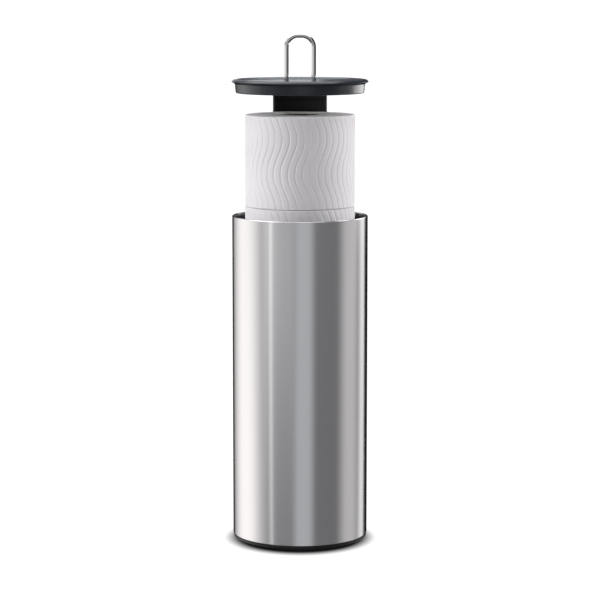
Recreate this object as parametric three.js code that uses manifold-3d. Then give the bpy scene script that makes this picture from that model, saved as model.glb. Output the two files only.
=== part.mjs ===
// A free-standing steel canister with a lift-out carrier for spare toilet rolls, shown with the carrier
// part lifted.
// Millimetres, +Z up, the origin on the floor at the middle of the base, the front towards -Y.
import * as THREE from "three";
import { mergeVertices } from "three/addons/utils/BufferGeometryUtils.js";
import Module from "manifold-3d";

const wasm = await Module();
wasm.setup();

// Fineness of round shapes
const ROUND = 40; // sides of the large turned pieces
const CORE_ROUND = 24; // sides of the rolls' cores
const SMALL_ROUND = 12; // sides of screws, washers and the nuts' bores
const CORNER_STEPS = 1; // half the number of steps in each rounded corner of a profile
const LID_STEPS = 2; // the same for the lid's lip and dish
const WIRE_STEPS = 46; // steps along the handle
const WIRE_SIDES = 10;
const GAP = 0.3; // clearance left between pieces that touch

// Canister
const SHELL_RADIUS = 72.5;
const SHELL_WALL = 0.7;
const SHELL_BOTTOM = 5;
const RIM_HEIGHT = 350;
const HEM_WIDTH = 2.1;
const HEM_DEPTH = 3.4;
const HEM_ROUND = 0.8;
const CURL_REACH = 2.3; // how far the shell's bottom edge turns in
const LINER_OUTER = 71.2;
const LINER_INNER = 70;
const LINER_STEP = 4; // depth of the wider collar at the liner's top
const FLOOR_TOP = 7.2;
const FLOOR_UNDER = 4.4;
const BAND_RADIUS = 71.9;
const BAND_UNDER = 1.3;
const FOOT_OUTER = 69.2;
const FOOT_INNER = 63;
const FOOT_HEIGHT = 2.6;

// Carrier, given as it stands when the lid lies on the rim
const LIFT = 140.8; // how far the carrier is raised at rest
const SEAT = RIM_HEIGHT + GAP; // height that the lid is measured from, just over the rim
const LIP_RADIUS = 73.1;
const LIP_ROUND = 0.3;
const LIP_HEIGHT = SEAT + 1.45; // of the lip's edge
const COVE_HEIGHT = SEAT - 1; // where the lip's sloping underside meets the skirt
const SKIRT_TOP_RADIUS = 69.2;
const SKIRT_RADIUS = 68.3;
const SKIRT_WALL = 2.1;
const SKIRT_DEPTH = 10.7;
const SKIRT_ROUND = 1.5;
const DISH_TOP = SEAT + 1.6;
const CREST_TOP = SEAT + 4;
const PANEL_UNDER = SEAT - 0.6;
const PLATE_TOP = SEAT - 6.4;
const PLATE_THICK = 2;
const PLATE_RADIUS = 65;

const WIRE_RADIUS = 2.5;
const LEG_OFFSET = 14.6;
const BEND_RADIUS = 12.6;
const HANDLE_TOP = SEAT + 52.5;
const LEG_END = PLATE_TOP + 0.4;
const NUT_FLATS = 8;
const NUT_HEIGHT = 3.5;
const WASHER_RADIUS = 5.5;
const WASHER_THICK = 1;

const SPINE_INNER = 60.2;
const SPINE_OUTER = 64.2;
const SPINE_PANEL_IN = 61.4;
const SPINE_PANEL_OUT = 63.4;
const SPINE_HALF_ANGLE = 27.9; // degrees either side of the back
const SPINE_BEAD_ANGLE = 3.7;
const SPINE_TOP = PLATE_TOP - PLATE_THICK - GAP;
const SPINE_BAND = 12; // height of the solid band above and below the recessed panel
const TAB_THICK = 2.5;
const TAB_REACH = 45; // radius that the spine's top tab reaches in to

const TRAY_TOP = 24.5;
const TRAY_THICK = 2.5;
const TRAY_BOTTOM = 14.4;
const TRAY_RADIUS = 66;
const TRAY_RIM = 2.5;
const TRAY_WALL = 2;

const SCREW_RADIUS = 1.6;
const SCREW_HEAD_RADIUS = 3.4;
const SCREW_HEAD_HEIGHT = 1.9;
const SOCKET_RADIUS = 1.25;
const BOSS_RADIUS = 3.8;
const PLATE_SCREW = [36, -36];
const SPINE_SCREW = [13, 50];
const TRAY_SCREW_ANGLE = 11;
const TRAY_SCREW_HEIGHT = 19.4;

// Rolls
const ROLL_RADIUS = 59;
const ROLL_HEIGHT = 97.2;
const ROLL_PITCH = ROLL_HEIGHT + GAP;
const ROLL_EDGE = 1.6;
const CORE_OUTER = 22.2;
const CORE_WALL = 0.9;
const CORE_RECESS = 0.8;

const radians = THREE.MathUtils.degToRad;

const finishes = {
  steel: { color: 0xb9b7b6, roughness: 0.3, metalness: 1 },
  wire: { color: 0xcfcfd0, roughness: 0.12, metalness: 1 },
  zinc: { color: 0xaeb0b2, roughness: 0.35, metalness: 1 },
  slate: { color: 0x3a424b, roughness: 0.35, metalness: 0 },
  black: { color: 0x17181a, roughness: 0.5, metalness: 0 },
  rubber: { color: 0x101112, roughness: 0.85, metalness: 0 },
  tissue: { color: 0xf1f0ee, roughness: 0.95, metalness: 0 },
  board: { color: 0x6e5643, roughness: 0.9, metalness: 0 },
};

function piece(name, geometry, finish) {
  const mesh = new THREE.Mesh(geometry, new THREE.MeshStandardMaterial(finishes[finish]));
  mesh.name = name;
  return mesh;
}

// A profile of (radius, height) turned about Z. Profiles run up the outside and down the inside.
function turned(profile, sides = ROUND, steps = CORNER_STEPS) {
  return new THREE.LatheGeometry(profile.getPoints(steps), sides).rotateX(Math.PI / 2);
}

function cylinder(radius, from, to, sides = SMALL_ROUND) {
  const geometry = new THREE.CylinderGeometry(radius, radius, to - from, sides);
  return geometry.rotateX(Math.PI / 2).translate(0, 0, (from + to) / 2);
}

// A curved bar centred on the back of the object: a ring from one radius to the other, cut to an angle
// each side.
function curvedBar(inner, outer, fromAngle, toAngle, from, to) {
  const start = Math.PI / 2 + radians(fromAngle);
  const end = Math.PI / 2 + radians(toAngle);
  const outline = new THREE.Shape();
  outline.absarc(0, 0, outer, start, end, false);
  outline.absarc(0, 0, inner, end, start, true);
  outline.closePath();
  const curveSegments = Math.max(2, Math.round(Math.abs(toAngle - fromAngle) / 6));
  const settings = { depth: to - from, bevelEnabled: false, curveSegments };
  const geometry = new THREE.ExtrudeGeometry(outline, settings);
  return geometry.translate(0, 0, from);
}

function solid(geometry) {
  const bare = geometry.clone();
  bare.deleteAttribute("normal");
  bare.deleteAttribute("uv");
  const merged = mergeVertices(bare, 1e-4);
  const triVerts = new Uint32Array(merged.index.array);
  const vertProperties = merged.attributes.position.array;
  return new wasm.Manifold(new wasm.Mesh({ numProp: 3, vertProperties, triVerts }));
}

// The first geometry with the others joined to it, then the cutters taken away.
function joined(base, others, cutters) {
  let body = solid(base);
  for (const other of others) body = body.add(solid(other));
  for (const cutter of cutters) body = body.subtract(solid(cutter));
  const mesh = body.getMesh();
  const geometry = new THREE.BufferGeometry();
  geometry.setAttribute("position", new THREE.BufferAttribute(mesh.vertProperties, 3));
  geometry.setIndex(new THREE.BufferAttribute(mesh.triVerts, 1));
  return geometry;
}

// Steel tube with its rim folded in and its bottom edge curled under the base moulding.
function canisterShell() {
  const inside = SHELL_RADIUS - SHELL_WALL;
  const hemInside = SHELL_RADIUS - HEM_WIDTH;
  const curlInside = SHELL_RADIUS - CURL_REACH;
  const profile = new THREE.Path();
  profile.moveTo(curlInside, SHELL_BOTTOM + SHELL_WALL);
  profile.lineTo(curlInside, SHELL_BOTTOM);
  profile.absarc(SHELL_RADIUS - HEM_ROUND, SHELL_BOTTOM + HEM_ROUND, HEM_ROUND, -Math.PI / 2, 0, false);
  profile.absarc(SHELL_RADIUS - HEM_ROUND, RIM_HEIGHT - HEM_ROUND, HEM_ROUND, 0, Math.PI / 2, false);
  profile.absarc(hemInside + HEM_ROUND, RIM_HEIGHT - HEM_ROUND, HEM_ROUND, Math.PI / 2, Math.PI, false);
  profile.lineTo(hemInside, RIM_HEIGHT - HEM_DEPTH);
  profile.lineTo(inside, RIM_HEIGHT - HEM_DEPTH);
  profile.lineTo(inside, SHELL_BOTTOM + SHELL_WALL);
  profile.closePath();
  return turned(profile);
}

// Plastic sleeve inside the shell, from the floor to just below the hem, with a wider collar on top.
function canisterLiner() {
  const top = RIM_HEIGHT - HEM_DEPTH - GAP;
  const bottom = FLOOR_TOP + GAP;
  const profile = new THREE.Path();
  profile.moveTo(LINER_INNER, bottom);
  profile.lineTo(LINER_OUTER, bottom);
  profile.lineTo(LINER_OUTER, top);
  profile.lineTo(LINER_INNER + 0.5, top);
  profile.lineTo(LINER_INNER + 0.5, top - LINER_STEP);
  profile.lineTo(LINER_INNER, top - LINER_STEP - 0.5);
  profile.closePath();
  return turned(profile);
}

// Floor moulding: a disc inside the shell, a neck through the curled edge and a flange that shows as a band.
function canisterBase() {
  const neck = SHELL_RADIUS - CURL_REACH - GAP;
  const neckTop = SHELL_BOTTOM + SHELL_WALL + GAP;
  const round = 1.2;
  const profile = new THREE.Path();
  profile.moveTo(0, FLOOR_UNDER);
  profile.lineTo(FOOT_INNER - 2.6, FLOOR_UNDER);
  profile.lineTo(FOOT_INNER - 2.6, BAND_UNDER);
  profile.lineTo(FOOT_INNER - GAP, BAND_UNDER);
  profile.lineTo(FOOT_INNER - GAP, FOOT_HEIGHT + GAP);
  profile.lineTo(FOOT_OUTER + GAP, FOOT_HEIGHT + GAP);
  profile.lineTo(FOOT_OUTER + GAP, BAND_UNDER);
  profile.absarc(BAND_RADIUS - round, BAND_UNDER + round, round, -Math.PI / 2, 0, false);
  profile.lineTo(BAND_RADIUS, SHELL_BOTTOM - GAP);
  profile.lineTo(neck, SHELL_BOTTOM - GAP);
  profile.lineTo(neck, neckTop);
  profile.lineTo(LINER_OUTER, neckTop);
  profile.lineTo(LINER_OUTER, FLOOR_TOP);
  profile.lineTo(0, FLOOR_TOP);
  return turned(profile);
}

function footRing() {
  const round = 0.8;
  const profile = new THREE.Path();
  profile.moveTo(FOOT_INNER, FOOT_HEIGHT);
  profile.lineTo(FOOT_INNER, round);
  profile.absarc(FOOT_INNER + round, round, round, Math.PI, 1.5 * Math.PI, false);
  profile.absarc(FOOT_OUTER - round, round, round, -Math.PI / 2, 0, false);
  profile.lineTo(FOOT_OUTER, FOOT_HEIGHT);
  profile.closePath();
  return turned(profile);
}

// Lid moulding: a dished top, a lip whose sloping underside meets the rim and a skirt that drops into the
// canister.
function lid() {
  const skirtBottom = SEAT - SKIRT_DEPTH;
  const skirtInside = SKIRT_RADIUS - SKIRT_WALL;
  const profile = new THREE.Path();
  profile.moveTo(0, PANEL_UNDER);
  profile.lineTo(skirtInside - 1.2, PANEL_UNDER);
  profile.lineTo(skirtInside, PANEL_UNDER - 1.2);
  profile.lineTo(skirtInside, skirtBottom);
  profile.absarc(
    SKIRT_RADIUS - SKIRT_ROUND, skirtBottom + SKIRT_ROUND, SKIRT_ROUND, -Math.PI / 2, 0, false,
  );
  profile.lineTo(SKIRT_TOP_RADIUS, COVE_HEIGHT);
  profile.absarc(LIP_RADIUS - LIP_ROUND, LIP_HEIGHT, LIP_ROUND, -Math.PI / 3, Math.PI / 4, false);
  profile.quadraticCurveTo(LIP_RADIUS - 2.1, CREST_TOP - 0.2, LIP_RADIUS - 4.5, CREST_TOP);
  profile.quadraticCurveTo(LIP_RADIUS - 6.5, DISH_TOP + 0.2, LIP_RADIUS - 10.5, DISH_TOP);
  profile.lineTo(0, DISH_TOP);
  const bosses = [];
  const holes = [];
  for (const side of [-1, 1]) {
    for (const [x, y] of [PLATE_SCREW, SPINE_SCREW]) {
      bosses.push(cylinder(BOSS_RADIUS, PLATE_TOP + GAP, PANEL_UNDER + 0.5).translate(side * x, y, 0));
      holes.push(cylinder(SCREW_RADIUS + GAP, PLATE_TOP, PANEL_UNDER - 0.4).translate(side * x, y, 0));
    }
    const legHole = cylinder(WIRE_RADIUS + GAP, PANEL_UNDER - 1, DISH_TOP + 1);
    holes.push(legHole.translate(side * LEG_OFFSET, 0, 0));
  }
  return joined(turned(profile, ROUND, LID_STEPS), bosses, holes);
}

// Flat plate that closes the lid from below, with holes for the four screws.
function lidPlate() {
  const bottom = PLATE_TOP - PLATE_THICK;
  const plate = cylinder(PLATE_RADIUS, bottom, PLATE_TOP, ROUND);
  const holes = [];
  for (const side of [-1, 1])
    for (const [x, y] of [PLATE_SCREW, SPINE_SCREW])
      holes.push(cylinder(SCREW_RADIUS + GAP, bottom - 1, PLATE_TOP + 1).translate(side * x, y, 0));
  return joined(plate, [], holes);
}

// Centre line of the handle: two upright legs, a quarter bend on each and a short flat between the bends.
class HandleLine extends THREE.Curve {
  getPoint(t, target = new THREE.Vector3()) {
    const top = HANDLE_TOP - WIRE_RADIUS;
    const flat = LEG_OFFSET - BEND_RADIUS;
    const bend = (BEND_RADIUS * Math.PI) / 2;
    const leg = top - BEND_RADIUS - LEG_END;
    const along = (2 * t - 1) * (flat + bend + leg);
    const side = Math.sign(along) || 1;
    const past = Math.abs(along) - flat;
    if (past < 0) return target.set(along, 0, top);
    const turn = Math.min(past / BEND_RADIUS, Math.PI / 2);
    const down = Math.max(0, past - bend);
    const x = flat + BEND_RADIUS * Math.sin(turn);
    return target.set(side * x, 0, top - BEND_RADIUS * (1 - Math.cos(turn)) - down);
  }
}

function handleLoop() {
  const section = new THREE.Shape().absarc(0, 0, WIRE_RADIUS, 0, 2 * Math.PI, false);
  const curveSegments = WIRE_SIDES / 2;
  const settings = { extrudePath: new HandleLine(), steps: WIRE_STEPS, curveSegments };
  return new THREE.ExtrudeGeometry(section, settings);
}

function washer() {
  const top = PANEL_UNDER - GAP;
  const bore = cylinder(WIRE_RADIUS + GAP, top - 2 * WASHER_THICK, top + 1);
  return joined(cylinder(WASHER_RADIUS, top - WASHER_THICK, top), [], [bore]);
}

function nut() {
  const top = PANEL_UNDER - WASHER_THICK - 2 * GAP;
  const bore = cylinder(WIRE_RADIUS + GAP, top - NUT_HEIGHT - 1, top + 1);
  const corners = NUT_FLATS / Math.sqrt(3);
  return joined(cylinder(corners, top - NUT_HEIGHT, top, 6), [], [bore]);
}

// A pan-head screw standing on its head, with a hexagon socket: the head's flat side is at height 0 and the
// shank rises from it.
function screw(length) {
  const profile = new THREE.Path();
  profile.moveTo(0, -SCREW_HEAD_HEIGHT);
  profile.lineTo(0.55 * SCREW_HEAD_RADIUS, -SCREW_HEAD_HEIGHT);
  profile.quadraticCurveTo(SCREW_HEAD_RADIUS, -0.9 * SCREW_HEAD_HEIGHT, SCREW_HEAD_RADIUS, 0);
  profile.lineTo(SCREW_RADIUS, 0);
  profile.lineTo(SCREW_RADIUS, length - 0.8);
  profile.lineTo(0.5 * SCREW_RADIUS, length);
  profile.lineTo(0, length);
  const socket = cylinder(SOCKET_RADIUS, -2 * SCREW_HEAD_HEIGHT, -0.4 * SCREW_HEAD_HEIGHT, 6);
  return joined(turned(profile, SMALL_ROUND), [], [socket]);
}

// Curved strip behind the rolls: a recessed panel framed by edge beads and bands, with a tab that screws to
// the lid.
function spine() {
  const half = SPINE_HALF_ANGLE;
  const bead = half - SPINE_BEAD_ANGLE;
  const bar = (from, to, bottom, top) => curvedBar(SPINE_INNER, SPINE_OUTER, from, to, bottom, top);
  const panel = curvedBar(SPINE_PANEL_IN, SPINE_PANEL_OUT, -half + 1, half - 1, TRAY_BOTTOM, SPINE_TOP);
  const additions = [
    bar(-half, -bead, TRAY_BOTTOM, SPINE_TOP),
    bar(bead, half, TRAY_BOTTOM, SPINE_TOP),
    bar(-half, half, SPINE_TOP - SPINE_BAND, SPINE_TOP),
    bar(-half, half, TRAY_BOTTOM, TRAY_BOTTOM + SPINE_BAND),
    curvedBar(TAB_REACH, SPINE_INNER + 1, -20, 20, SPINE_TOP - TAB_THICK, SPINE_TOP),
  ];
  const holes = [];
  for (const side of [-1, 1]) {
    const upright = cylinder(SCREW_RADIUS + GAP, SPINE_TOP - TAB_THICK - 1, SPINE_TOP + 1);
    holes.push(upright.translate(side * SPINE_SCREW[0], SPINE_SCREW[1], 0));
    holes.push(radialHole(side, SPINE_INNER - 3, SPINE_OUTER + 3));
  }
  return joined(panel, additions, holes);
}

// A hole for a tray screw, bored along the radius.
function radialHole(side, from, to) {
  const hole = cylinder(SCREW_RADIUS + GAP, from, to).rotateX(-Math.PI / 2);
  return hole.rotateZ(radians(side * TRAY_SCREW_ANGLE)).translate(0, 0, TRAY_SCREW_HEIGHT);
}

// Shallow dish on a skirt, cut away at the back where the spine passes down behind a short curved wall.
function tray() {
  const rimTop = TRAY_TOP + TRAY_RIM;
  const under = TRAY_TOP - TRAY_THICK;
  const inside = TRAY_RADIUS - TRAY_WALL;
  const profile = new THREE.Path();
  profile.moveTo(0, under);
  profile.lineTo(inside, under);
  profile.lineTo(inside, TRAY_BOTTOM);
  profile.lineTo(TRAY_RADIUS, TRAY_BOTTOM);
  profile.absarc(TRAY_RADIUS - 1, rimTop - 1, 1, 0, Math.PI / 2, false);
  profile.quadraticCurveTo(TRAY_RADIUS - 3, rimTop, TRAY_RADIUS - 4, TRAY_TOP + 0.8);
  profile.lineTo(TRAY_RADIUS - 5, TRAY_TOP);
  profile.lineTo(0, TRAY_TOP);
  const notch = SPINE_HALF_ANGLE + 0.5;
  const wallOuter = SPINE_INNER - GAP;
  const disc = joined(turned(profile), [], [
    curvedBar(wallOuter, TRAY_RADIUS + 2, -notch, notch, TRAY_BOTTOM - 1, rimTop + 1),
  ]);
  const wall = curvedBar(wallOuter - 2.4, wallOuter, -notch - 2.5, notch + 2.5, TRAY_BOTTOM, TRAY_TOP);
  const ends = [-notch - 2.5, notch + 0.6].map((start) =>
    curvedBar(wallOuter - 1, inside + 1, start, start + 1.9, TRAY_BOTTOM, TRAY_TOP),
  );
  const bosses = [-1, 1].map((side) => {
    const boss = cylinder(BOSS_RADIUS - 0.3, 50, wallOuter - 1).rotateX(-Math.PI / 2);
    return boss.rotateZ(radians(side * TRAY_SCREW_ANGLE)).translate(0, 0, TRAY_SCREW_HEIGHT);
  });
  const holes = [-1, 1].map((side) => radialHole(side, 52, wallOuter + 3));
  return joined(disc, [wall, ...ends, ...bosses], holes);
}

// A wound roll with rounded edges, on a core that stands a little back from each end.
function paper(bottom) {
  const inner = CORE_OUTER + GAP;
  const top = bottom + ROLL_HEIGHT;
  const profile = new THREE.Path();
  profile.moveTo(inner, top);
  profile.lineTo(inner, bottom);
  profile.absarc(ROLL_RADIUS - ROLL_EDGE, bottom + ROLL_EDGE, ROLL_EDGE, -Math.PI / 2, 0, false);
  profile.absarc(ROLL_RADIUS - ROLL_EDGE, top - ROLL_EDGE, ROLL_EDGE, 0, Math.PI / 2, false);
  profile.closePath();
  return turned(profile);
}

function core(bottom) {
  const from = bottom + CORE_RECESS;
  const to = bottom + ROLL_HEIGHT - CORE_RECESS;
  const profile = new THREE.Path();
  profile.moveTo(CORE_OUTER - CORE_WALL, from);
  profile.lineTo(CORE_OUTER, from);
  profile.lineTo(CORE_OUTER, to);
  profile.lineTo(CORE_OUTER - CORE_WALL, to);
  profile.closePath();
  return turned(profile, CORE_ROUND);
}

function canister() {
  const group = new THREE.Group();
  group.add(piece("canister_shell", canisterShell(), "steel"));
  group.add(piece("canister_liner", canisterLiner(), "black"));
  group.add(piece("canister_base", canisterBase(), "black"));
  group.add(piece("foot_ring", footRing(), "rubber"));
  return group;
}

// Washer, nut and screws of one side, -1 left and 1 right.
function fastenings(side) {
  const word = side < 0 ? "left" : "right";
  const group = new THREE.Group();
  const washerMesh = piece("handle_washer_" + word, washer(), "zinc");
  const nutMesh = piece("handle_nut_" + word, nut(), "zinc");
  washerMesh.position.x = side * LEG_OFFSET;
  nutMesh.position.x = side * LEG_OFFSET;
  const shankTop = PANEL_UNDER - 1;
  const plateHead = PLATE_TOP - PLATE_THICK - GAP;
  const plateScrew = piece("plate_screw_" + word, screw(shankTop - plateHead), "zinc");
  plateScrew.position.set(side * PLATE_SCREW[0], PLATE_SCREW[1], plateHead);
  const spineHead = SPINE_TOP - TAB_THICK - GAP;
  const spineScrew = piece("spine_screw_" + word, screw(shankTop - spineHead), "zinc");
  spineScrew.position.set(side * SPINE_SCREW[0], SPINE_SCREW[1], spineHead);
  const trayScrew = piece("tray_screw_" + word, screw(12), "zinc");
  const angle = radians(side * TRAY_SCREW_ANGLE);
  const headRadius = SPINE_OUTER + GAP;
  trayScrew.rotation.set(Math.PI / 2, 0, angle, "ZYX");
  trayScrew.position.set(-headRadius * Math.sin(angle), headRadius * Math.cos(angle), TRAY_SCREW_HEIGHT);
  group.add(washerMesh, nutMesh, plateScrew, spineScrew, trayScrew);
  return group;
}

function rolls() {
  const group = new THREE.Group();
  ["bottom", "middle", "top"].forEach((word, level) => {
    const bottom = TRAY_TOP + GAP + level * ROLL_PITCH;
    group.add(piece("roll_" + word + "_paper", paper(bottom), "tissue"));
    group.add(piece("roll_" + word + "_core", core(bottom), "board"));
  });
  return group;
}

function carrier() {
  const group = new THREE.Group();
  group.add(piece("lid", lid(), "slate"));
  group.add(piece("lid_plate", lidPlate(), "black"));
  group.add(piece("handle_loop", handleLoop(), "wire"));
  group.add(piece("spine", spine(), "black"));
  group.add(piece("tray", tray(), "black"));
  group.add(fastenings(-1), fastenings(1), rolls());
  group.position.z = LIFT;
  return group;
}

const object = new THREE.Group();
object.add(canister(), carrier());

export default object;
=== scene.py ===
"""A steel canister for spare toilet rolls, its lid and carrier part lifted: fine surfaces and finishes."""

import math

import bpy
import numpy as np
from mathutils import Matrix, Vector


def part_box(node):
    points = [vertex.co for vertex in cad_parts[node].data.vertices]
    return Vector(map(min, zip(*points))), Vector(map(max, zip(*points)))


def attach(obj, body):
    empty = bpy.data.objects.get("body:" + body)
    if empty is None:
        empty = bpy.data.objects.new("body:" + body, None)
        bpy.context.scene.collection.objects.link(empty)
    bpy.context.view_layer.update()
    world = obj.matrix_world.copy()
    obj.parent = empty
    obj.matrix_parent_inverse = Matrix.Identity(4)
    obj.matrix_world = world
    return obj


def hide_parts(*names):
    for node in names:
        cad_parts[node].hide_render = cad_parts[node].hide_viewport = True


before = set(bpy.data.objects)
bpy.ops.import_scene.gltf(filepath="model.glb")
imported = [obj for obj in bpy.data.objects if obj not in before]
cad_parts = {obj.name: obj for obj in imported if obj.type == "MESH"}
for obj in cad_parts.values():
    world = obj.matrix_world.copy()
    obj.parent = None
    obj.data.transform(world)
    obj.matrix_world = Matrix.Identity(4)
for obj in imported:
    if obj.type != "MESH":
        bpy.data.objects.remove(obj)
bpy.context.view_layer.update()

MM = 0.001  # lengths below are in millimetres, and meshes are made in metres

# Camera
CAMERA_BACK = 2400.0  # in front of the canister's axis
CAMERA_HEIGHT = 588.5
CAMERA_PITCH = 7.83  # degrees below the horizon
CAMERA_LENS = 135.2  # on a 36 mm sensor

# Floor
FLOOR_REACH = 80.0  # metres each way
FLOOR_GLOW = 1.10
# The shadow on the floor is painted: the floor's glow fades out inside an ellipse set a little forward of the
# foot.
PAINTED_SHADOW_SIZE = (71.0, 74.0)  # half width and half depth of the shadow on the floor
PAINTED_SHADOW_FORWARD = 8.0  # of the axis
PAINTED_SHADOW_EDGE = (0.90, 1.22)  # where it starts and stops fading, as shares of its size

# Fineness of the turned pieces
LARGE_ROUND = 256
LID_ROUND = 480
CORNER_STEPS = 6

# Canister
STEEL_WALL = 0.7
HEM_WIDTH = 2.1
HEM_DEPTH = 3.4
CURL_REACH = 2.3
LINER_WALL = 1.2
LINER_STEP = 4.0
FLOOR_UNDER = 4.4
FOOT_WIDTH = 6.2

# Carrier
SKIRT_DEPTH = 10.7  # below the seat, the height that the lid is measured from
SKIRT_RADIUS = 68.3
SKIRT_TOP_RADIUS = 69.2
SKIRT_WALL = 2.1
SKIRT_MARK_ANGLES = (-108, -36, 36, 108, 180)  # fine vertical flow marks, degrees from the front
SKIRT_MARK_WIDTH = 0.5
SKIRT_MARK_HEIGHT = 0.12
SPINE_HALF_ANGLE = 27.9
SPINE_THICK = 4.0
SPINE_BEAD = 4.0
SPINE_BAND = 12.0
SPINE_RECESS = 1.2
TAB_THICK = 2.5
TAB_HALF_ANGLE = 20
TAB_NEAR = 45.0  # from the axis
TRAY_RIM = 2.5  # above the tray's floor
TRAY_HELD = 57.0  # the tray is round up to this radius, under the rolls

# Rolls
WAVE_LINES = 47
WAVE_COLUMNS = 16  # of the grid, for each line
WAVE_PERIOD = 74.5
WAVE_REACH = 5.2
GROOVE_DEPTH = 0.38
GROOVE_WIDTH = 0.6  # from its middle to where its depth has dropped to a third
CROWN_HEIGHT = 0.10  # the paper is lower by this much beside a groove than midway between two
FREE_EDGE = 1.9  # how far the top roll's upper edge is rounded over
PRESSED_EDGE = 0.8  # and every other edge
CORE_WALL = 0.9
SEAM_PITCH = 62.0  # of the spiral seam
SEAM_WIDTH = 0.8


# ---------------------------------------------------------------- camera, floor and light

def make_camera():
    camera = bpy.data.objects.new("camera", bpy.data.cameras.new("camera"))
    bpy.context.scene.collection.objects.link(camera)
    camera.location = (0, -CAMERA_BACK * MM, CAMERA_HEIGHT * MM)
    camera.rotation_euler = (math.radians(90 - CAMERA_PITCH), 0, 0)
    camera.data.lens = CAMERA_LENS
    camera.data.sensor_width = 36
    camera.data.clip_end = 200
    bpy.context.scene.camera = camera


def linear(hex_colour):
    """An sRGB hex colour as linear red, green, blue and an alpha of 1."""
    parts = [int(hex_colour[i:i + 2], 16) / 255 for i in (1, 3, 5)]
    return [c / 12.92 if c <= 0.04045 else ((c + 0.055) / 1.055) ** 2.4 for c in parts] + [1.0]


def add_node(tree, kind, inputs=(), **settings):
    """Adds a node with its settings, and sets or links each of its inputs, given by name or number."""
    made = tree.nodes.new(kind)
    for name, value in settings.items():
        setattr(made, name, value)
    for name, value in dict(inputs).items():
        if isinstance(value, bpy.types.NodeSocket):
            tree.links.new(value, made.inputs[name])
        else:
            made.inputs[name].default_value = value
    return made


# Softboxes and cards round the object. Each has an azimuth from the front towards +X, a half width and a soft
# edge, then an elevation, a half height and a soft edge, all in degrees, and last its brightness and colour.
REFLECTED = (
    (0, 180, 1, 0, 90, 1, 0.20, "#fbfbff"),
    (-107, 6, 52, -14, 16, 14, 1.28, "#fffcf9"),
    (-90, 40, 20, 46, 22, 14, 0.90, "#ffffff"),
    (-51, 1.2, 2.6, -10, 40, 10, 0.70, "#ffffff"),
    (-38, 20, 12, 0, 2, 9, 0.80, "#ffffff"),
    (6, 8, 16, -10, 40, 10, 0.38, "#f8fcff"),
    (95, 6, 26, -8, 20, 12, 0.49, "#fffbfa"),
    (134, 4, 15, -10, 30, 10, 0.86, "#ffffff"),
    (180, 40, 40, 60, 12, 12, 3.00, "#f4f8ff"),
    (180, 180, 1, 70, 20, 14, 1.60, "#ffffff"),
)
DARK_CARDS = ((-167, 12), (160, 16))  # upright black cards behind the object: azimuth and half width
DARK_CARD_TOP = 20  # their top edge, degrees above the horizon
DARK_CARD_SOFT = 3
# What lights the object by scattering: large soft lights at both sides, which leave the front darker.
SCATTERED = (
    (0, 180, 1, 0, 90, 1, 0.22, "#fcfcff"),
    (0, 80, 50, 0, 90, 1, 0.14, "#fcfcff"),
    (-80, 12, 24, 24, 14, 18, 3.80, "#ffffff"),
    (101, 10, 22, 24, 14, 18, 4.60, "#ffffff"),
)
# Strip lights close to the lid, seen only in gloss: azimuth and distance in millimetres from the axis, half
# width, bottom and top, and brightness. The last is a black flag, which shades the right of the lid's top.
LID_STRIPS = (
    ("left_strip", -103, 260, 45, 400, 500, 1.8),
    ("right_strip", 120, 260, 95, 400, 500, 4.0),
    ("back_strip", -160, 340, 150, 490, 570, 1.4),
    ("right_flag", 112, 110, 150, 494, 640, 0.04),
)


def soft_share(tree, value, centre, half, soft):
    """1 within half of the centre, falling smoothly to 0 over the soft edge."""
    away = add_node(tree, "ShaderNodeMath", {0: value, 1: centre}, operation="SUBTRACT")
    wrapped = add_node(tree, "ShaderNodeMath", {0: away.outputs[0], 1: 180.0, 2: -180.0}, operation="WRAP")
    distance = add_node(tree, "ShaderNodeMath", {0: wrapped.outputs[0]}, operation="ABSOLUTE")
    fall = {"From Min": half, "From Max": half + soft, "To Min": 1.0, "To Max": 0.0}
    ramp = {"Value": distance.outputs[0], **fall}
    return add_node(tree, "ShaderNodeMapRange", ramp, interpolation_type="SMOOTHSTEP").outputs[0]


def card_light(tree, azimuth, elevation, cards):
    """The sum of the cards' light in one direction."""
    light = None
    for az, half_width, side_soft, el, half_height, top_soft, brightness, colour in cards:
        across = soft_share(tree, azimuth, az, half_width, side_soft)
        upward = soft_share(tree, elevation, el, half_height, top_soft)
        both = add_node(tree, "ShaderNodeMath", {0: across, 1: upward}, operation="MULTIPLY")
        scaled = add_node(tree, "ShaderNodeMath", {0: both.outputs[0], 1: brightness}, operation="MULTIPLY")
        card = {0: linear(colour)[:3], "Scale": scaled.outputs[0]}
        shone = add_node(tree, "ShaderNodeVectorMath", card, operation="SCALE").outputs[0]
        if light is None:
            light = shone
        else:
            light = add_node(tree, "ShaderNodeVectorMath", {0: light, 1: shone}, operation="ADD").outputs[0]
    return light


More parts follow.
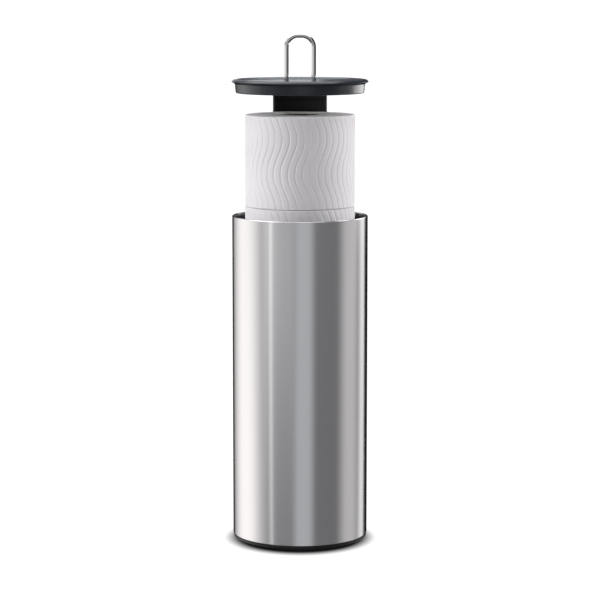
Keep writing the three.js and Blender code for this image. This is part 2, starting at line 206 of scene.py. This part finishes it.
def make_world():
    """Cards and softboxes by azimuth and elevation, one set for gloss and one for scattered light, and plain
    white for the camera."""
    world = bpy.data.worlds.new("studio")
    bpy.context.scene.world = world
    world.use_nodes = True
    tree = world.node_tree
    tree.nodes.clear()
    direction = add_node(tree, "ShaderNodeTexCoord").outputs["Generated"]
    axes = add_node(tree, "ShaderNodeSeparateXYZ", {0: direction})
    front = add_node(tree, "ShaderNodeMath", {0: axes.outputs["Y"], 1: -1.0}, operation="MULTIPLY")
    sides = {0: axes.outputs["X"], 1: front.outputs[0]}
    turned = add_node(tree, "ShaderNodeMath", sides, operation="ARCTAN2")
    azimuth = add_node(tree, "ShaderNodeMath", {0: turned.outputs[0]}, operation="DEGREES").outputs[0]
    raised = add_node(tree, "ShaderNodeMath", {0: axes.outputs["Z"]}, operation="ARCSINE")
    elevation = add_node(tree, "ShaderNodeMath", {0: raised.outputs[0]}, operation="DEGREES").outputs[0]
    reflected = card_light(tree, azimuth, elevation, REFLECTED)
    edge = {"From Min": DARK_CARD_TOP - DARK_CARD_SOFT, "From Max": DARK_CARD_TOP + DARK_CARD_SOFT}
    low = {"Value": elevation, "To Min": 1.0, "To Max": 0.0, **edge}
    below = add_node(tree, "ShaderNodeMapRange", low, interpolation_type="SMOOTHSTEP").outputs[0]
    for centre, half in DARK_CARDS:
        hidden = soft_share(tree, azimuth, centre, half, DARK_CARD_SOFT)
        dark = add_node(tree, "ShaderNodeMath", {0: hidden, 1: below}, operation="MULTIPLY")
        open_share = add_node(tree, "ShaderNodeMath", {0: 1.0, 1: dark.outputs[0]}, operation="SUBTRACT")
        dimmed = {0: reflected, "Scale": open_share.outputs[0]}
        reflected = add_node(tree, "ShaderNodeVectorMath", dimmed, operation="SCALE").outputs[0]
    scattered = card_light(tree, azimuth, elevation, SCATTERED)
    path = add_node(tree, "ShaderNodeLightPath").outputs
    kinds = {0: path["Is Diffuse Ray"], 6: reflected, 7: scattered}
    studio = add_node(tree, "ShaderNodeMix", kinds, data_type="RGBA")
    seen = {0: path["Is Camera Ray"], 6: studio.outputs[2], 7: (1.0, 1.0, 1.0, 1.0)}
    shown = add_node(tree, "ShaderNodeMix", seen, data_type="RGBA")
    background = add_node(tree, "ShaderNodeBackground", {"Color": shown.outputs[2], "Strength": 1.0})
    output = add_node(tree, "ShaderNodeOutputWorld")
    tree.links.new(background.outputs[0], output.inputs["Surface"])


def make_lid_strips():
    """Upright rectangles that face the axis."""
    for name, azimuth, distance, half, bottom, top, brightness in LID_STRIPS:
        turn = math.radians(azimuth)
        middle = np.array([math.sin(turn), -math.cos(turn)]) * distance
        along = np.array([math.cos(turn), math.sin(turn)]) * half
        sides = ((-1, bottom), (1, bottom), (1, top), (-1, top))
        corners = [(*(middle + side * along), z) for side, z in sides]
        mesh = bpy.data.meshes.new(name)
        mesh.from_pydata((np.array(corners) * MM).tolist(), [], [(0, 1, 2, 3)])
        material, tree, shader = new_material(name, "#000000", 1.0, Specular_IOR_Level=0.0)
        shader.inputs["Emission Color"].default_value = linear("#ffffff")
        shader.inputs["Emission Strength"].default_value = brightness
        mesh.materials.append(material)
        strip = bpy.data.objects.new(name, mesh)
        bpy.context.scene.collection.objects.link(strip)
        strip.visible_camera = False
        strip.visible_diffuse = False
        strip.visible_shadow = False


def make_floor():
    """A wide white plane that glows except in a painted soft elliptical shadow, set a little forward of its
    foot where lights high behind the object would throw one. It lights nothing itself."""
    mesh = bpy.data.meshes.new("floor")
    corners = [(x * FLOOR_REACH, y * FLOOR_REACH, 0) for x, y in ((-1, -1), (1, -1), (1, 1), (-1, 1))]
    mesh.from_pydata(corners, [], [(0, 1, 2, 3)])
    floor = bpy.data.objects.new("floor", mesh)
    bpy.context.scene.collection.objects.link(floor)
    floor.visible_glossy = False
    floor.visible_diffuse = False
    material, tree, shader = new_material("white_acrylic_floor", "#202020", 1.0, Specular_IOR_Level=0.0)
    shader.inputs["Emission Color"].default_value = linear("#ffffff")
    place = add_node(tree, "ShaderNodeTexCoord").outputs["Object"]
    half_width, half_depth = (size * MM for size in PAINTED_SHADOW_SIZE)
    shift = (0, PAINTED_SHADOW_FORWARD * MM / half_depth, 0)
    fitted = {"Vector": place, "Location": shift, "Scale": (1 / half_width, 1 / half_depth, 0)}
    ellipse = add_node(tree, "ShaderNodeMapping", fitted).outputs[0]
    away = add_node(tree, "ShaderNodeVectorMath", {0: ellipse}, operation="LENGTH").outputs["Value"]
    # Painted shadow: the glow fades to nothing inside the ellipse.
    fade = {"From Min": PAINTED_SHADOW_EDGE[0], "From Max": PAINTED_SHADOW_EDGE[1], "To Min": 0.0, "To Max": FLOOR_GLOW}
    ramp = {"Value": away, **fade}
    glow = add_node(tree, "ShaderNodeMapRange", ramp, interpolation_type="SMOOTHSTEP")
    tree.links.new(glow.outputs[0], shader.inputs["Emission Strength"])
    mesh.materials.append(material)


# ---------------------------------------------------------------- materials

def new_material(name, colour, roughness, metallic=0.0, **settings):
    """A material with one Principled shader, its constant values set on the shader's own sockets."""
    material = bpy.data.materials.new(name)
    material.use_nodes = True
    tree = material.node_tree
    shader = tree.nodes["Principled BSDF"]
    shader.inputs["Base Color"].default_value = linear(colour)
    shader.inputs["Roughness"].default_value = roughness
    shader.inputs["Metallic"].default_value = metallic
    for key, value in settings.items():
        shader.inputs[key.replace("_", " ")].default_value = value
    return material, tree, shader


def millimetres(tree, scale=(1, 1, 1)):
    """Object coordinates scaled so that one unit is the given number of millimetres along each axis."""
    coordinates = add_node(tree, "ShaderNodeTexCoord").outputs["Object"]
    factors = [1000 / s for s in scale]
    return add_node(tree, "ShaderNodeMapping", {"Vector": coordinates, "Scale": factors}).outputs[0]


def brushed_stainless():
    """Stainless sheet, brushed with a fine belt round the tube: grooves along the circumference stretch every
    reflection upwards and leave it sharp across, so the tube shows upright bands of light and dark. The
    scratches are drawn coarser than real grit, so that they show."""
    material, tree, shader = new_material("brushed_stainless_steel", "#d8d7d8", 0.25, 1.0)
    shader.inputs["Anisotropic"].default_value = 0.9
    shader.inputs["Anisotropic Rotation"].default_value = 0.25
    tangent = add_node(tree, "ShaderNodeTangent", direction_type="RADIAL", axis="Z")
    tree.links.new(tangent.outputs[0], shader.inputs["Tangent"])
    belt = millimetres(tree, (28, 28, 0.22))
    grit = add_node(tree, "ShaderNodeTexNoise", {"Vector": belt, "Scale": 1.0, "Detail": 3.0})
    worn = {"Value": grit.outputs[0], "From Min": 0.3, "From Max": 0.7, "To Min": 0.235, "To Max": 0.265}
    rough = add_node(tree, "ShaderNodeMapRange", worn)
    tree.links.new(rough.outputs[0], shader.inputs["Roughness"])
    scratched = {"Height": grit.outputs[0], "Strength": 0.015, "Distance": 0.1 * MM}
    bump = add_node(tree, "ShaderNodeBump", scratched)
    tree.links.new(bump.outputs[0], shader.inputs["Normal"])
    return material


def polished_wire():
    """Drawn and polished stainless wire: a bright mirror with faint draw lines that soften it a little."""
    material, tree, shader = new_material("polished_stainless_wire", "#d0cfcd", 0.09, 1.0)
    drawn = millimetres(tree, (0.4, 0.4, 9))
    lines = add_node(tree, "ShaderNodeTexNoise", {"Vector": drawn, "Scale": 1.0, "Detail": 2.0})
    scratched = {"Height": lines.outputs[0], "Strength": 0.05, "Distance": 0.1 * MM}
    bump = add_node(tree, "ShaderNodeBump", scratched)
    tree.links.new(bump.outputs[0], shader.inputs["Normal"])
    return material


def zinc_plate():
    """Zinc-plated steel: a soft bluish metal with cloudy patches in its shine."""
    material, tree, shader = new_material("zinc_plated_steel", "#b4b8bb", 0.35, 1.0)
    place = millimetres(tree, (1.5, 1.5, 1.5))
    clouds = add_node(tree, "ShaderNodeTexNoise", {"Vector": place, "Scale": 1.0, "Detail": 3.0})
    patch = add_node(tree, "ShaderNodeMapRange", {"Value": clouds.outputs[0], "To Min": 0.25, "To Max": 0.48})
    tree.links.new(patch.outputs[0], shader.inputs["Roughness"])
    return material


def moulded_plastic(name, colour, second, roughness, grain, depth, gloss=0.5):
    """Injection-moulded plastic: an even colour with a faint flow mottle and a fine spark-eroded grain, whose
    size is given in millimetres."""
    material, tree, shader = new_material(name, colour, roughness, Specular_IOR_Level=gloss)
    flow = millimetres(tree, (22, 22, 22))
    mottle = add_node(tree, "ShaderNodeTexNoise", {"Vector": flow, "Scale": 1.0, "Detail": 2.0})
    shades = {0: mottle.outputs[0], 6: linear(colour), 7: linear(second)}
    blended = add_node(tree, "ShaderNodeMix", shades, data_type="RGBA")
    tree.links.new(blended.outputs[2], shader.inputs["Base Color"])
    eroded = millimetres(tree, (grain, grain, grain))
    spark = add_node(tree, "ShaderNodeTexNoise", {"Vector": eroded, "Scale": 1.0, "Detail": 3.0})
    spread = {"To Min": roughness - 0.05, "To Max": roughness + 0.05}
    worn = {"Value": spark.outputs[0], "From Min": 0.3, "From Max": 0.7, **spread}
    rough = add_node(tree, "ShaderNodeMapRange", worn)
    tree.links.new(rough.outputs[0], shader.inputs["Roughness"])
    pitted = {"Height": spark.outputs[0], "Strength": depth, "Distance": 0.1 * MM}
    bump = add_node(tree, "ShaderNodeBump", pitted)
    tree.links.new(bump.outputs[0], shader.inputs["Normal"])
    return material


def embossed_tissue():
    """Two-ply tissue: a bright dull white with a fine pebbled emboss and soft fibres."""
    material, tree, shader = new_material("embossed_tissue", "#f1eef0", 1.0, Specular_IOR_Level=0.15)
    shader.inputs["Sheen Weight"].default_value = 0.15
    shader.inputs["Sheen Roughness"].default_value = 0.6
    emboss = millimetres(tree, (1.4, 1.4, 1.4))
    pebble = add_node(tree, "ShaderNodeTexVoronoi", {"Vector": emboss, "Scale": 1.0})
    strands = millimetres(tree, (0.5, 0.5, 1.4))
    fibre = add_node(tree, "ShaderNodeTexNoise", {"Vector": strands, "Scale": 1.0, "Detail": 3.0})
    heights = {0: pebble.outputs["Distance"], 1: fibre.outputs[0]}
    both = add_node(tree, "ShaderNodeMath", heights, operation="ADD")
    raised = {"Height": both.outputs[0], "Strength": 0.3, "Distance": 0.2 * MM}
    bump = add_node(tree, "ShaderNodeBump", raised)
    tree.links.new(bump.outputs[0], shader.inputs["Normal"])
    shades = {0: fibre.outputs[0], 6: linear("#f4f1f3"), 7: linear("#eae7e9")}
    blended = add_node(tree, "ShaderNodeMix", shades, data_type="RGBA")
    tree.links.new(blended.outputs[2], shader.inputs["Base Color"])
    return material


def wound_board():
    """Grey-brown paperboard, wound into a tube and glued: matt, with short darker fibres."""
    material, tree, shader = new_material("wound_cardboard", "#7d624c", 0.95, Specular_IOR_Level=0.2)
    strands = millimetres(tree, (1.2, 1.2, 0.6))
    fibre = add_node(tree, "ShaderNodeTexNoise", {"Vector": strands, "Scale": 1.0, "Detail": 4.0})
    shades = {0: fibre.outputs[0], 6: linear("#5c4635"), 7: linear("#947760")}
    blended = add_node(tree, "ShaderNodeMix", shades, data_type="RGBA")
    tree.links.new(blended.outputs[2], shader.inputs["Base Color"])
    raised = {"Height": fibre.outputs[0], "Strength": 0.3, "Distance": 0.2 * MM}
    bump = add_node(tree, "ShaderNodeBump", raised)
    tree.links.new(bump.outputs[0], shader.inputs["Normal"])
    return material


# ---------------------------------------------------------------- surfaces

def outline(corners, closed=True, steps=CORNER_STEPS):
    """Straight lines between corners (x, y, radius), each rounded by an arc that touches both its lines."""
    points = []
    count = len(corners)
    for i, (x, y, radius) in enumerate(corners):
        here = np.array([x, y], float)
        if radius == 0 or (not closed and i in (0, count - 1)):
            points.append(here[None])
            continue
        before = np.array(corners[i - 1][:2], float) - here
        after = np.array(corners[(i + 1) % count][:2], float) - here
        before /= np.linalg.norm(before)
        after /= np.linalg.norm(after)
        half = math.acos(np.clip(before @ after, -1, 1)) / 2
        middle = (before + after) / np.linalg.norm(before + after)
        centre = here + middle * radius / math.sin(half)
        start = here + before * radius / math.tan(half) - centre
        end = here + after * radius / math.tan(half) - centre
        first = math.atan2(start[1], start[0])
        swing = (math.atan2(end[1], end[0]) - first + math.pi) % (2 * math.pi) - math.pi
        angles = first + swing * np.linspace(0, 1, steps + 1)
        points.append(centre + radius * np.stack([np.cos(angles), np.sin(angles)], -1))
    return np.concatenate(points)


def quads(rows, columns, rows_closed, columns_closed):
    """The faces of a grid of points numbered row by row."""
    bands = np.arange(rows - (not rows_closed))
    strips = np.arange(columns - (not columns_closed))
    r, c = np.meshgrid(bands, strips, indexing="ij")
    up, right = (r + 1) % rows, (c + 1) % columns
    corners = [r * columns + c, r * columns + right, up * columns + right, up * columns + c]
    return np.stack(corners, -1).reshape(-1, 4)


def add_piece(name, points, faces, material, body, replaced=(), sharp=40):
    """Makes a mesh of points in millimetres with its finish, its body and the nodes that it stands for."""
    mesh = bpy.data.meshes.new(name)
    mesh.from_pydata((points.reshape(-1, 3) * MM).tolist(), [], faces)
    mesh.polygons.foreach_set("use_smooth", np.ones(len(mesh.polygons), bool))
    mesh.set_sharp_from_angle(angle=math.radians(sharp))
    mesh.materials.append(material)
    made = bpy.data.objects.new(name, mesh)
    bpy.context.scene.collection.objects.link(made)
    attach(made, body)
    if replaced:
        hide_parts(*replaced)
    return made


def spun(profile, columns, change=None):
    """A profile of (radius, height) turned about Z: up the outside and down the inside. A profile that starts
    and ends on the axis is closed there by fans. change takes radius, height and angle from the front, as
    arrays, and gives a new radius and angle back."""
    on_axis = profile[0, 0] == 0
    body = profile[1:-1] if on_axis else profile
    rows = len(body)
    angle = np.linspace(0, 2 * math.pi, columns, endpoint=False)
    radius = np.repeat(body[:, :1], columns, 1)
    height = np.repeat(body[:, 1:], columns, 1)
    across = np.broadcast_to(angle, radius.shape)
    if change:
        radius, across = change(radius, height, across)
    points = np.stack([radius * np.sin(across), -radius * np.cos(across), height], -1).reshape(-1, 3)
    faces = quads(rows, columns, not on_axis, True).tolist()
    if on_axis:
        low, high = rows * columns, rows * columns + 1
        points = np.concatenate([points, [[0, 0, profile[0, 1]], [0, 0, profile[-1, 1]]]])
        last = (rows - 1) * columns
        for c in range(columns):
            after = (c + 1) % columns
            faces.append([low, after, c])
            faces.append([last + c, last + after, high])
    return points, faces


def millimetre_box(node):
    low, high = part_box(node)
    return np.array(low) / MM, np.array(high) / MM


def steel_shell(material):
    """The tube: a plain wall, its rim folded inwards into a round hem and its foot curled in."""
    low, high = millimetre_box("canister_shell")
    radius, bottom, rim = high[0], low[2], high[2]
    profile = outline([
        (radius - CURL_REACH, bottom, 0.2), (radius, bottom, 0.8), (radius, rim, 0.9),
        (radius - HEM_WIDTH, rim, 0.9), (radius - HEM_WIDTH, rim - HEM_DEPTH, 0.2),
        (radius - STEEL_WALL, rim - HEM_DEPTH, 0.1), (radius - STEEL_WALL, bottom + STEEL_WALL, 0.1),
        (radius - CURL_REACH, bottom + STEEL_WALL, 0.2),
    ])
    points, faces = spun(profile, LARGE_ROUND)
    add_piece("tube", points, faces, material, "canister", ["canister_shell"])


def sleeve(material):
    """The black sleeve: a thin wall with a wider collar cut into its top."""
    low, high = millimetre_box("canister_liner")
    outer, bottom, top = high[0], low[2], high[2]
    inner = outer - LINER_WALL
    profile = outline([
        (inner, bottom, 0.2), (outer, bottom, 0.2), (outer, top, 0.25), (inner + 0.5, top, 0.25),
        (inner + 0.5, top - LINER_STEP, 0.1), (inner, top - LINER_STEP - 0.4, 0.2),
    ], steps=3)
    points, faces = spun(profile, LARGE_ROUND)
    add_piece("sleeve", points, faces, material, "canister", ["canister_liner"])


def base_moulding(material):
    """The floor, its neck through the curled foot of the tube, and the flange that shows under the steel as a
    black band."""
    low, high = millimetre_box("canister_base")
    band, under, floor = high[0], low[2], high[2]
    foot_high = millimetre_box("foot_ring")[1]
    groove, groove_top = foot_high[0] + 0.3, foot_high[2] + 0.3
    steel_low = millimetre_box("canister_shell")[0][2]
    inside = millimetre_box("canister_liner")[1][0]
    neck = inside - 1.3
    groove_inner = groove - FOOT_WIDTH - 0.6
    hub = groove_inner - 2.6
    profile = outline([
        (0, FLOOR_UNDER, 0), (hub, FLOOR_UNDER, 0.5), (hub, under, 0.4),
        (groove_inner, under, 0.3), (groove_inner, groove_top, 0.2),
        (groove, groove_top, 0.2), (groove, under, 0.3), (band, under, 1.1), (band, steel_low - 0.3, 0.4),
        (neck, steel_low - 0.3, 0.1), (neck, steel_low + 1.0, 0.1), (inside, steel_low + 1.0, 0.2),
        (inside, floor, 0.3), (inside - 4, floor, 0.3), (inside - 5, floor - 0.4, 0.3), (0, floor - 0.4, 0),
    ], closed=False, steps=4)
    points, faces = spun(profile, LARGE_ROUND)
    add_piece("base_moulding", points, faces, material, "canister", ["canister_base"])


def rubber_foot(material):
    """The ring that the canister stands on, with a rounded tread."""
    low, high = millimetre_box("foot_ring")
    outer, top = high[0], high[2]
    inner = outer - FOOT_WIDTH
    profile = outline([(inner, low[2], 0.9), (outer, low[2], 0.9), (outer, top, 0.2), (inner, top, 0.2)])
    points, faces = spun(profile, LARGE_ROUND)
    add_piece("rubber_foot", points, faces, material, "canister", ["foot_ring"])


def lid_shell(material):
    """The lid: a dished top with a soft crest, a thin lip over a coved underside, and a tapered skirt. Its
    skirt carries faint upright marks, each a narrow bell in the radius."""
    low, high = millimetre_box("lid")
    lip, crest = high[0], high[2]
    seat = low[2] + SKIRT_DEPTH
    inner = SKIRT_RADIUS - SKIRT_WALL
    profile = outline([
        (0, seat - 0.6, 0), (inner, seat - 0.6, 1.2), (inner, low[2], 0.5), (SKIRT_RADIUS, low[2], 1.5),
        (SKIRT_TOP_RADIUS, seat - 1.0, 0.7), (lip, seat + 1.4, 0.25), (lip - 1.9, crest - 0.6, 1.8),
        (lip - 4.5, crest, 2.2), (lip - 7.0, seat + 2.1, 6.0), (lip - 13.0, seat + 1.6, 8.0),
        (0, seat + 1.6, 0),
    ], closed=False)
    outside = (SKIRT_RADIUS + SKIRT_TOP_RADIUS) / 2

    def marked(radius, height, angle):
        on_skirt = (np.abs(radius - outside) < 0.8) & (height > low[2] + 0.5) & (height < seat - 1.2)
        turns = [angle - math.radians(a) + math.pi for a in SKIRT_MARK_ANGLES]
        away = [(np.mod(turn, 2 * math.pi) - math.pi) * outside for turn in turns]
        mark = sum(np.exp(-(distance / SKIRT_MARK_WIDTH) ** 2) for distance in away)
        return radius + SKIRT_MARK_HEIGHT * mark * on_skirt, angle

    points, faces = spun(profile, LID_ROUND, marked)
    add_piece("lid_moulding", points, faces, material, "carrier", ["lid"])


def lid_closing_plate(material):
    """The plate under the lid, stepped down a little inside its rim."""
    low, high = millimetre_box("lid_plate")
    radius, bottom, top = high[0], low[2], high[2]
    profile = outline([
        (0, bottom + 0.5, 0), (radius - 4, bottom + 0.5, 0.4), (radius - 4.6, bottom, 0.4),
        (radius, bottom, 0.4), (radius, top, 0.3), (0, top, 0),
    ], closed=False, steps=3)
    points, faces = spun(profile, LARGE_ROUND)
    add_piece("closing_plate", points, faces, material, "carrier", ["lid_plate"])


def wire_handle(material):
    """A round wire carried along two legs, two quarter bends and a short flat, all in the plane Y = 0."""
    low, high = millimetre_box("handle_loop")
    wire = (high[1] - low[1]) / 2
    offset = high[0] - wire
    bend = offset - 2.0
    top = high[2] - wire
    flat = offset - bend
    leg = top - bend - low[2]
    around = bend * math.pi / 2
    along = np.concatenate([
        np.linspace(0, leg, 12), leg + around * np.linspace(0, 1, 25)[1:],
        leg + around + flat * np.linspace(0, 1, 4)[1:],
    ])
    turn = np.clip((along - leg) / bend, 0, math.pi / 2)
    past = np.maximum(along - leg - around, 0)
    x = offset - bend * (1 - np.cos(turn)) - past
    z = low[2] + np.minimum(along, leg) + bend * np.sin(turn)
    x, z = np.concatenate([x, -x[-2::-1]]), np.concatenate([z, z[-2::-1]])
    slope = np.arctan2(np.gradient(z), np.gradient(x))
    sides = 32
    a = np.linspace(0, 2 * math.pi, sides, endpoint=False)
    out = wire * np.cos(a)
    points = np.stack([
        x[:, None] - out * np.sin(slope)[:, None], np.broadcast_to(wire * np.sin(a), (len(x), sides)),
        z[:, None] + out * np.cos(slope)[:, None],
    ], -1)
    faces = quads(len(x), sides, False, True)[:, ::-1].tolist()
    last = (len(x) - 1) * sides
    faces.append(list(range(sides)))
    faces.append([last + i for i in range(sides)][::-1])
    add_piece("wire_handle", points, faces, material, "carrier", ["handle_loop"])


def soft_step(value, low, high):
    """0 below low, 1 above high, and a smooth S between."""
    t = np.clip((value - low) / (high - low), 0, 1)
    return t * t * (3 - 2 * t)


def spine_strip(material):
    """A curved strip on a cylinder about Z. Its front and back are radii over angle and height: the panel
    lies back from a frame of edge beads and bands, and the thickness shrinks like a half circle at the long
    edges."""
    low, high = millimetre_box("spine")
    outer = high[1]
    inner = outer - SPINE_THICK
    middle = (inner + outer) / 2
    half = math.radians(SPINE_HALF_ANGLE)
    bottom, top = low[2], high[2]
    columns = 120
    angle = half * np.sin(np.linspace(-math.pi / 2, math.pi / 2, columns))
    height = np.concatenate([
        bottom + np.array([0, 0.15, 0.5]), np.linspace(bottom + 1.5, bottom + SPINE_BAND - 1, 6),
        bottom + SPINE_BAND + np.linspace(-0.6, 0.9, 7), np.linspace(bottom + 20, top - 20, 40),
        top - SPINE_BAND + np.linspace(-0.9, 0.6, 7), np.linspace(top - SPINE_BAND + 1, top - 1.5, 6),
        top - np.array([0.5, 0.15, 0]),
    ])
    a, z = np.meshgrid(angle, height)
    from_edge = (half - np.abs(a)) * middle
    inside = soft_step(from_edge, SPINE_BEAD - 0.5, SPINE_BEAD + 0.5)
    inside = inside * soft_step(z, bottom + SPINE_BAND - 0.5, bottom + SPINE_BAND + 0.5)
    inside = inside * soft_step(top - z, SPINE_BAND - 0.5, SPINE_BAND + 0.5)
    lean = np.clip(1 - from_edge, 0, 1)  # over the last millimetre
    end = np.clip(1 - np.minimum(z - bottom, top - z) / 0.5, 0, 1)
    full = np.sqrt(np.clip(1 - lean ** 2, 0, 1)) * (1 - 0.25 * end ** 2)
    front = middle - (middle - inner - SPINE_RECESS * inside) * full
    back = middle + (outer - middle - 0.8 * inside) * full
    rows = len(height)
    radius = np.concatenate([front, back[:, -2:0:-1]], 1)
    around = np.concatenate([a, a[:, -2:0:-1]], 1)
    level = np.concatenate([z, z[:, -2:0:-1]], 1)
    loop = radius.shape[1]
    points = np.stack([radius * np.sin(around), radius * np.cos(around), level], -1)
    faces = quads(rows, loop, False, True).tolist()
    i = np.arange(1, columns - 2)
    for row, order in ((0, -1), (rows - 1, 1)):
        start = row * loop
        cap = np.stack([start + i, start + i + 1, start + loop - i - 1, start + loop - i], -1)[:, ::order]
        faces += cap.tolist()
        faces.append([start, start + 1, start + loop - 1][::order])
        faces.append([start + columns - 2, start + columns - 1, start + columns][::order])
    add_piece("spine_strip", points, faces, material, "carrier", ["spine"])


def slab(border, low, high, edge):
    """A flat plate with a border, anticlockwise from above, and edges rounded by insetting that border."""
    along = np.roll(border, -1, 0) - np.roll(border, 1, 0)
    along /= np.linalg.norm(along, axis=1)[:, None]
    inward = np.stack([-along[:, 1], along[:, 0]], -1)
    turn = np.linspace(0, math.pi / 2, 4)
    inset = edge * (1 - np.concatenate([np.sin(turn), np.sin(turn[::-1])]))
    level = np.concatenate([low + edge * (1 - np.cos(turn)), high - edge * (1 - np.cos(turn[::-1]))])
    flat = border[None] + inset[:, None, None] * inward[None]
    points = np.concatenate([flat, np.broadcast_to(level[:, None, None], flat.shape[:2] + (1,))], -1)
    count = len(border)
    faces = quads(len(level), count, False, True).tolist()
    faces.append(list(range(count))[::-1])
    faces.append([(len(level) - 1) * count + i for i in range(count)])
    return points, faces


def spine_tab(material):
    """The tab on the spine's head, a sector of a ring with round corners, screwed to the lid."""
    high = millimetre_box("spine")[1]
    far = high[1] - 3.0
    half = math.radians(TAB_HALF_ANGLE)
    sweep = np.linspace(half, -half, 24)
    arc = np.stack([np.sin(sweep), np.cos(sweep)], -1)
    outside, inside = far * arc, TAB_NEAR * arc[::-1]
    border = np.concatenate([outside, inside])
    points, faces = slab(border, high[2] - TAB_THICK, high[2], 0.5)
    add_piece("spine_tab", points, faces, material, "carrier")


def tray_dish(material):
    """The tray: a disc with a low rim and a skirt. Behind, its outer ring is drawn in to a short wall in
    front of the spine, by scaling the radius beyond the rolls with the angle."""
    low, high = millimetre_box("tray")
    radius, bottom, rim = high[0], low[2], high[2]
    floor = rim - TRAY_RIM
    under = floor - 2.5
    profile = outline([
        (0, under, 0), (radius - 2, under, 0.8), (radius - 2, bottom, 0.5), (radius, bottom, 0.6),
        (radius, rim, 0.9), (radius - 2.2, rim, 0.9), (radius - 4.4, floor, 1.2), (0, floor, 0),
    ], closed=False)
    behind = math.radians(SPINE_HALF_ANGLE + 1.5)
    wall = millimetre_box("spine")[1][1] - SPINE_THICK - 0.3

    def drawn_in(r, height, angle):
        away = np.abs(angle - math.pi)
        share = 1 - soft_step(away, behind - 0.03, behind + 0.03)
        reach = (wall - TRAY_HELD) / (radius - TRAY_HELD)
        drawn = TRAY_HELD + (r - TRAY_HELD) * (1 - share * (1 - reach))
        return np.where(r > TRAY_HELD, drawn, r), angle

    points, faces = spun(profile, LID_ROUND, drawn_in)
    add_piece("roll_tray", points, faces, material, "carrier", ["tray"])


def paper_roll(level, material, phase):
    """A wound roll, its ends rounded over, more at the free top end. The outside is a grid over angle and
    height whose upright lines lean along a sine of the height, so that the embossed grooves run exactly along
    them: each groove is a bell-shaped dip, with a low crown between two grooves. The winding is a little
    uneven, and the last sheet ends in a small step at the back."""
    node = "roll_" + level + "_paper"
    low, high = millimetre_box(node)
    radius, bottom, top = high[0] - 0.05, low[2] + 0.05, high[2] - 0.05
    bore = millimetre_box("roll_" + level + "_core")[1][0] + 0.05
    soft = FREE_EDGE if level == "top" else PRESSED_EDGE
    firm = PRESSED_EDGE
    rise = np.linspace(bottom + firm + 0.4, top - soft - 0.4, 72)
    turn = np.linspace(0, math.pi / 2, 6)
    lower = np.stack([radius - firm + firm * np.sin(turn), bottom + firm - firm * np.cos(turn)], -1)
    upper = np.stack([radius - soft + soft * np.cos(turn), top - soft + soft * np.sin(turn)], -1)
    wall = np.stack([np.full_like(rise, radius), rise], -1)
    across = np.array([radius - soft - 1.5, radius - 8, radius - 20, bore + 8, bore + 0.6])
    end_top = np.stack([across, np.full_like(across, top)], -1)
    end_bottom = np.stack([across[::-1], np.full_like(across, bottom)], -1)
    inner = np.array([[bore, top - 0.5], [bore, bottom + 0.5]])
    profile = np.concatenate([end_bottom, lower, wall, upper, end_top, inner])
    pitch = 2 * math.pi * radius / WAVE_LINES

    def embossed(r, height, angle):
        line = angle * WAVE_LINES / (2 * math.pi)
        line = line - 0.75 * np.sin(2 * math.pi * line) / (2 * math.pi)  # more of the grid near each groove
        away = np.abs(np.mod(line + 0.5, 1) - 0.5) * pitch
        lean = WAVE_REACH * np.sin(2 * math.pi * (height - bottom - phase) / WAVE_PERIOD) / radius
        round_to = 2 * math.pi * line / WAVE_LINES + lean
        skin = soft_step(r, radius - soft - 0.2, radius - 0.1)
        groove = GROOVE_DEPTH * np.exp(-(away / GROOVE_WIDTH) ** 2)
        crown = CROWN_HEIGHT * (1 - 2 * away / pitch) ** 2
        uneven = 0.12 * (1 + np.sin(2 * round_to + phase))
        sheet = 0.25 * np.mod(round_to / (2 * math.pi) + 0.57, 1)
        return r - skin * (groove + crown + uneven + sheet), round_to

    points, faces = spun(profile, WAVE_COLUMNS * WAVE_LINES, embossed)
    add_piece("paper_" + level, points, faces, material, "roll_" + level, [node], sharp=60)


def board_core(level, material):
    """A cardboard tube whose wall steps in by a hair along one spiral seam."""
    node = "roll_" + level + "_core"
    low, high = millimetre_box(node)
    outer, bottom, top = high[0], low[2], high[2]
    inner = outer - CORE_WALL
    rise = np.linspace(bottom + 0.3, top - 0.3, 90)
    profile = np.concatenate([
        [[inner + 0.2, bottom], [outer - 0.2, bottom]], np.stack([np.full_like(rise, outer), rise], -1),
        [[outer - 0.2, top], [inner + 0.2, top]], np.stack([np.full_like(rise, inner), rise[::-1]], -1),
    ])

    def seamed(r, height, angle):
        line = np.mod((height - bottom) / SEAM_PITCH - angle / (2 * math.pi), 1)
        seam = np.exp(-((line - 0.5) * SEAM_PITCH / SEAM_WIDTH) ** 2)
        return np.where(r < inner + 0.1, r + 0.25 * seam, r), angle

    points, faces = spun(profile, 180, seamed)
    add_piece("core_" + level, points, faces, material, "roll_" + level, [node])


def finish_fasteners(material):
    """The CAD screws, nuts and washers stay as they are and take the zinc finish."""
    for name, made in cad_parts.items():
        if "screw" in name or "washer" in name or "nut" in name:
            made.data.materials.clear()
            made.data.materials.append(material)


make_camera()
make_world()
make_lid_strips()
make_floor()
bpy.context.scene.view_settings.view_transform = "Standard"

steel = brushed_stainless()
slate = moulded_plastic("slate_polypropylene", "#242a31", "#20262d", 0.3, 0.5, 0.2)
black = moulded_plastic("black_polypropylene", "#101114", "#0d0e10", 0.42, 0.5, 0.25, gloss=0.35)
tissue = embossed_tissue()
board = wound_board()

steel_shell(steel)
sleeve(black)
base_moulding(black)
rubber_foot(moulded_plastic("black_rubber", "#0f1012", "#131416", 0.8, 0.35, 0.6))
lid_shell(slate)
lid_closing_plate(black)
wire_handle(polished_wire())
spine_strip(black)
spine_tab(black)
tray_dish(black)
for roll_level, roll_phase in (("top", 55.7), ("middle", 56.2), ("bottom", 20.0)):
    paper_roll(roll_level, tissue, roll_phase)
    board_core(roll_level, board)
finish_fasteners(zinc_plate())
